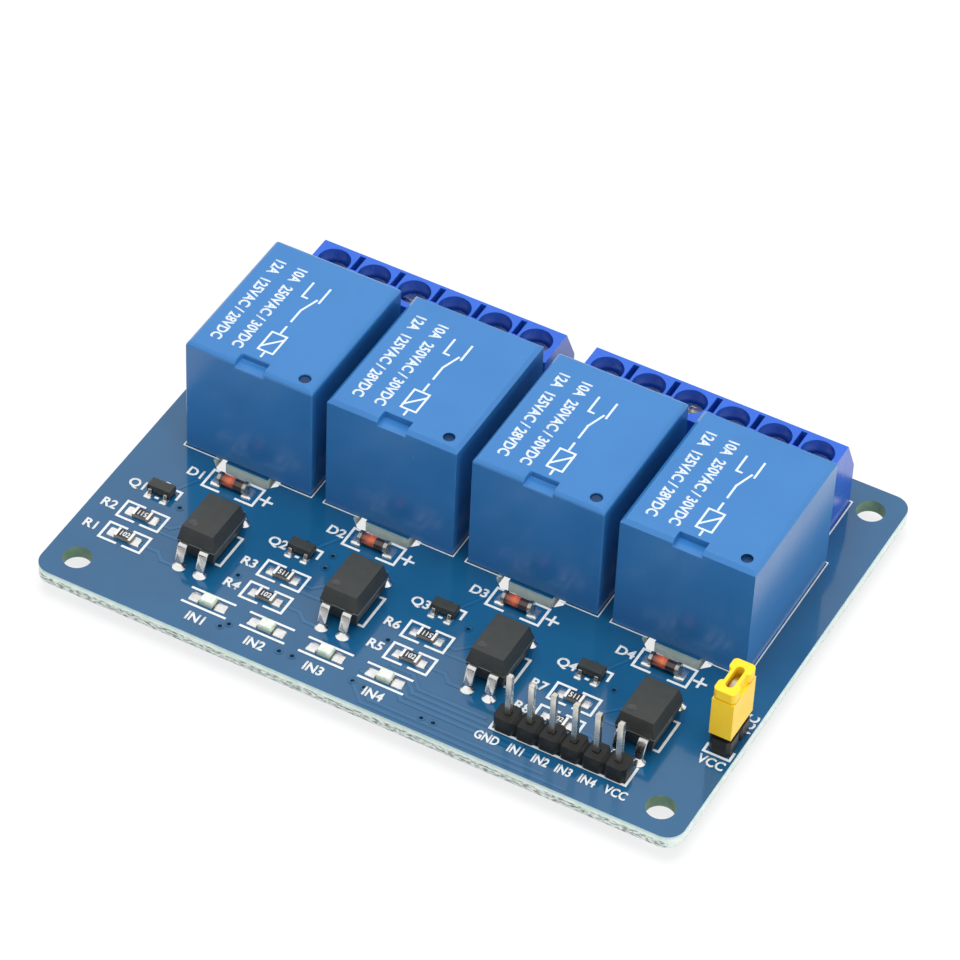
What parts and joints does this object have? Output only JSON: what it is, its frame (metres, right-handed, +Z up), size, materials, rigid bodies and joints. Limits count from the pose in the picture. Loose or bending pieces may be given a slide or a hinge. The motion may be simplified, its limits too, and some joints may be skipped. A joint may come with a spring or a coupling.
{
  "type": "relay module board",
  "caption": "Blue circuit board carrying a row of box relays, screw terminal blocks along one edge and a pin header with optocouplers for switching mains loads from logic signals",
  "frame": {"origin": "centre of the board's outline in plan, at the tips of the longest solder pins", "axes": "+X along the board's long side with the input header to the right, +Y from the header edge to the screw terminals, +Z up out of the component side"},
  "size_m": [0.076, 0.056, 0.0188],
  "materials": {
    "solder_mask_board": "glossy",
    "relay_case": "glossy",
    "relay_base": "matte",
    "copper_winding": "satin",
    "soft_iron": "plated",
    "contact_alloy": "satin",
    "tinned_metal": "bright",
    "terminal_plastic": "glossy",
    "plated_steel": "bright",
    "black_moulding": "matte",
    "chip_ceramic": "satin",
    "amber_glass": "glossy",
    "clear_resin": "glossy",
    "yellow_moulding": "satin"
  },
  "bodies": {
    "board": {"circuit_board": "solder_mask_board", "relay_bases": "relay_base", "relay_coils": "copper_winding", "relay_yokes": "soft_iron", "relay_closed_contacts": "contact_alloy", "relay_open_contacts": "contact_alloy", "relay_common_pins": "tinned_metal", "relay_coil_pins": "tinned_metal", "terminal_block_left": "terminal_plastic", "terminal_block_right": "terminal_plastic", "terminal_pins": "tinned_metal", "optocoupler_leads": "tinned_metal", "transistors": "black_moulding", "transistor_leads": "tinned_metal", "resistors": "chip_ceramic", "diodes": "amber_glass", "indicator_lamps": "clear_resin", "input_header_base": "black_moulding", "input_header_pins": "tinned_metal", "jumper_header_base": "black_moulding", "jumper_header_pins": "tinned_metal", "relay_cover_1": "relay_case", "optocoupler_1": "black_moulding", "relay_cover_2": "relay_case", "optocoupler_2": "black_moulding", "relay_cover_3": "relay_case", "optocoupler_3": "black_moulding", "relay_cover_4": "relay_case", "optocoupler_4": "black_moulding"},
    "armature_1": {"relay_armature_1": "soft_iron"},
    "armature_2": {"relay_armature_2": "soft_iron"},
    "armature_3": {"relay_armature_3": "soft_iron"},
    "armature_4": {"relay_armature_4": "soft_iron"},
    "screw_01": {"terminal_screw_01": "plated_steel"},
    "cage_01": {"terminal_cage_01": "plated_steel"},
    "screw_02": {"terminal_screw_02": "plated_steel"},
    "cage_02": {"terminal_cage_02": "plated_steel"},
    "screw_03": {"terminal_screw_03": "plated_steel"},
    "cage_03": {"terminal_cage_03": "plated_steel"},
    "screw_04": {"terminal_screw_04": "plated_steel"},
    "cage_04": {"terminal_cage_04": "plated_steel"},
    "screw_05": {"terminal_screw_05": "plated_steel"},
    "cage_05": {"terminal_cage_05": "plated_steel"},
    "screw_06": {"terminal_screw_06": "plated_steel"},
    "cage_06": {"terminal_cage_06": "plated_steel"},
    "screw_07": {"terminal_screw_07": "plated_steel"},
    "cage_07": {"terminal_cage_07": "plated_steel"},
    "screw_08": {"terminal_screw_08": "plated_steel"},
    "cage_08": {"terminal_cage_08": "plated_steel"},
    "screw_09": {"terminal_screw_09": "plated_steel"},
    "cage_09": {"terminal_cage_09": "plated_steel"},
    "screw_10": {"terminal_screw_10": "plated_steel"},
    "cage_10": {"terminal_cage_10": "plated_steel"},
    "screw_11": {"terminal_screw_11": "plated_steel"},
    "cage_11": {"terminal_cage_11": "plated_steel"},
    "screw_12": {"terminal_screw_12": "plated_steel"},
    "cage_12": {"terminal_cage_12": "plated_steel"},
    "jumper": {"jumper_cap": "yellow_moulding", "jumper_clip": "tinned_metal"}
  },
  "joints": [
    {"name": "armature_1_pivot", "type": "hinge", "parent": "board", "child": "armature_1", "pos_m": [-0.02575, -0.0017, 0.0153], "axis": [-1, 0, 0], "range_deg": [0, 4.3], "stiffness_Nm_per_rad": 0.01, "springref_deg": -11.46},
    {"name": "armature_2_pivot", "type": "hinge", "parent": "board", "child": "armature_2", "pos_m": [-0.00847, -0.0017, 0.0153], "axis": [-1, 0, 0], "range_deg": [0, 4.3], "stiffness_Nm_per_rad": 0.01, "springref_deg": -11.46},
    {"name": "armature_3_pivot", "type": "hinge", "parent": "board", "child": "armature_3", "pos_m": [0.0088, -0.0017, 0.0153], "axis": [-1, 0, 0], "range_deg": [0, 4.3], "stiffness_Nm_per_rad": 0.01, "springref_deg": -11.46},
    {"name": "armature_4_pivot", "type": "hinge", "parent": "board", "child": "armature_4", "pos_m": [0.02607, -0.0017, 0.0153], "axis": [-1, 0, 0], "range_deg": [0, 4.3], "stiffness_Nm_per_rad": 0.01, "springref_deg": -11.46},
    {"name": "screw_01_turn", "type": "hinge", "parent": "board", "child": "screw_01", "pos_m": [-0.02916, 0.01995, 0.012], "axis": [0, 0, -1], "range_deg": [0, 1225]},
    {"name": "screw_02_turn", "type": "hinge", "parent": "board", "child": "screw_02", "pos_m": [-0.02416, 0.01995, 0.012], "axis": [0, 0, -1], "range_deg": [0, 1225]},
    {"name": "screw_03_turn", "type": "hinge", "parent": "board", "child": "screw_03", "pos_m": [-0.01916, 0.01995, 0.012], "axis": [0, 0, -1], "range_deg": [0, 1225]},
    {"name": "screw_04_turn", "type": "hinge", "parent": "board", "child": "screw_04", "pos_m": [-0.01416, 0.01995, 0.012], "axis": [0, 0, -1], "range_deg": [0, 1225]},
    {"name": "screw_05_turn", "type": "hinge", "parent": "board", "child": "screw_05", "pos_m": [-0.00916, 0.01995, 0.012], "axis": [0, 0, -1], "range_deg": [0, 1225]},
    {"name": "screw_06_turn", "type": "hinge", "parent": "board", "child": "screw_06", "pos_m": [-0.00416, 0.01995, 0.012], "axis": [0, 0, -1], "range_deg": [0, 1225]},
    {"name": "screw_07_turn", "type": "hinge", "parent": "board", "child": "screw_07", "pos_m": [0.00448, 0.01995, 0.012], "axis": [0, 0, -1], "range_deg": [0, 1225]},
    {"name": "screw_08_turn", "type": "hinge", "parent": "board", "child": "screw_08", "pos_m": [0.00948, 0.01995, 0.012], "axis": [0, 0, -1], "range_deg": [0, 1225]},
    {"name": "screw_09_turn", "type": "hinge", "parent": "board", "child": "screw_09", "pos_m": [0.01448, 0.01995, 0.012], "axis": [0, 0, -1], "range_deg": [0, 1225]},
    {"name": "screw_10_turn", "type": "hinge", "parent": "board", "child": "screw_10", "pos_m": [0.01948, 0.01995, 0.012], "axis": [0, 0, -1], "range_deg": [0, 1225]},
    {"name": "screw_11_turn", "type": "hinge", "parent": "board", "child": "screw_11", "pos_m": [0.02448, 0.01995, 0.012], "axis": [0, 0, -1], "range_deg": [0, 1225]},
    {"name": "screw_12_turn", "type": "hinge", "parent": "board", "child": "screw_12", "pos_m": [0.02948, 0.01995, 0.012], "axis": [0, 0, -1], "range_deg": [0, 1225]},
    {"name": "cage_01_rise", "type": "slide", "parent": "board", "child": "cage_01", "axis": [0, 0, 1], "range_m": [0, 0.0017]},
    {"name": "cage_02_rise", "type": "slide", "parent": "board", "child": "cage_02", "axis": [0, 0, 1], "range_m": [0, 0.0017]},
    {"name": "cage_03_rise", "type": "slide", "parent": "board", "child": "cage_03", "axis": [0, 0, 1], "range_m": [0, 0.0017]},
    {"name": "cage_04_rise", "type": "slide", "parent": "board", "child": "cage_04", "axis": [0, 0, 1], "range_m": [0, 0.0017]},
    {"name": "cage_05_rise", "type": "slide", "parent": "board", "child": "cage_05", "axis": [0, 0, 1], "range_m": [0, 0.0017]},
    {"name": "cage_06_rise", "type": "slide", "parent": "board", "child": "cage_06", "axis": [0, 0, 1], "range_m": [0, 0.0017]},
    {"name": "cage_07_rise", "type": "slide", "parent": "board", "child": "cage_07", "axis": [0, 0, 1], "range_m": [0, 0.0017]},
    {"name": "cage_08_rise", "type": "slide", "parent": "board", "child": "cage_08", "axis": [0, 0, 1], "range_m": [0, 0.0017]},
    {"name": "cage_09_rise", "type": "slide", "parent": "board", "child": "cage_09", "axis": [0, 0, 1], "range_m": [0, 0.0017]},
    {"name": "cage_10_rise", "type": "slide", "parent": "board", "child": "cage_10", "axis": [0, 0, 1], "range_m": [0, 0.0017]},
    {"name": "cage_11_rise", "type": "slide", "parent": "board", "child": "cage_11", "axis": [0, 0, 1], "range_m": [0, 0.0017]},
    {"name": "cage_12_rise", "type": "slide", "parent": "board", "child": "cage_12", "axis": [0, 0, 1], "range_m": [0, 0.0017]},
    {"name": "jumper_pull", "type": "slide", "parent": "board", "child": "jumper", "axis": [0, 0, 1], "range_m": [0, 0.006]}
  ],
  "couplings": [
    {"joint": "screw_01_turn", "follows": "cage_01_rise", "rad_per_m": 12566},
    {"joint": "screw_02_turn", "follows": "cage_02_rise", "rad_per_m": 12566},
    {"joint": "screw_03_turn", "follows": "cage_03_rise", "rad_per_m": 12566},
    {"joint": "screw_04_turn", "follows": "cage_04_rise", "rad_per_m": 12566},
    {"joint": "screw_05_turn", "follows": "cage_05_rise", "rad_per_m": 12566},
    {"joint": "screw_06_turn", "follows": "cage_06_rise", "rad_per_m": 12566},
    {"joint": "screw_07_turn", "follows": "cage_07_rise", "rad_per_m": 12566},
    {"joint": "screw_08_turn", "follows": "cage_08_rise", "rad_per_m": 12566},
    {"joint": "screw_09_turn", "follows": "cage_09_rise", "rad_per_m": 12566},
    {"joint": "screw_10_turn", "follows": "cage_10_rise", "rad_per_m": 12566},
    {"joint": "screw_11_turn", "follows": "cage_11_rise", "rad_per_m": 12566},
    {"joint": "screw_12_turn", "follows": "cage_12_rise", "rad_per_m": 12566}
  ]
}
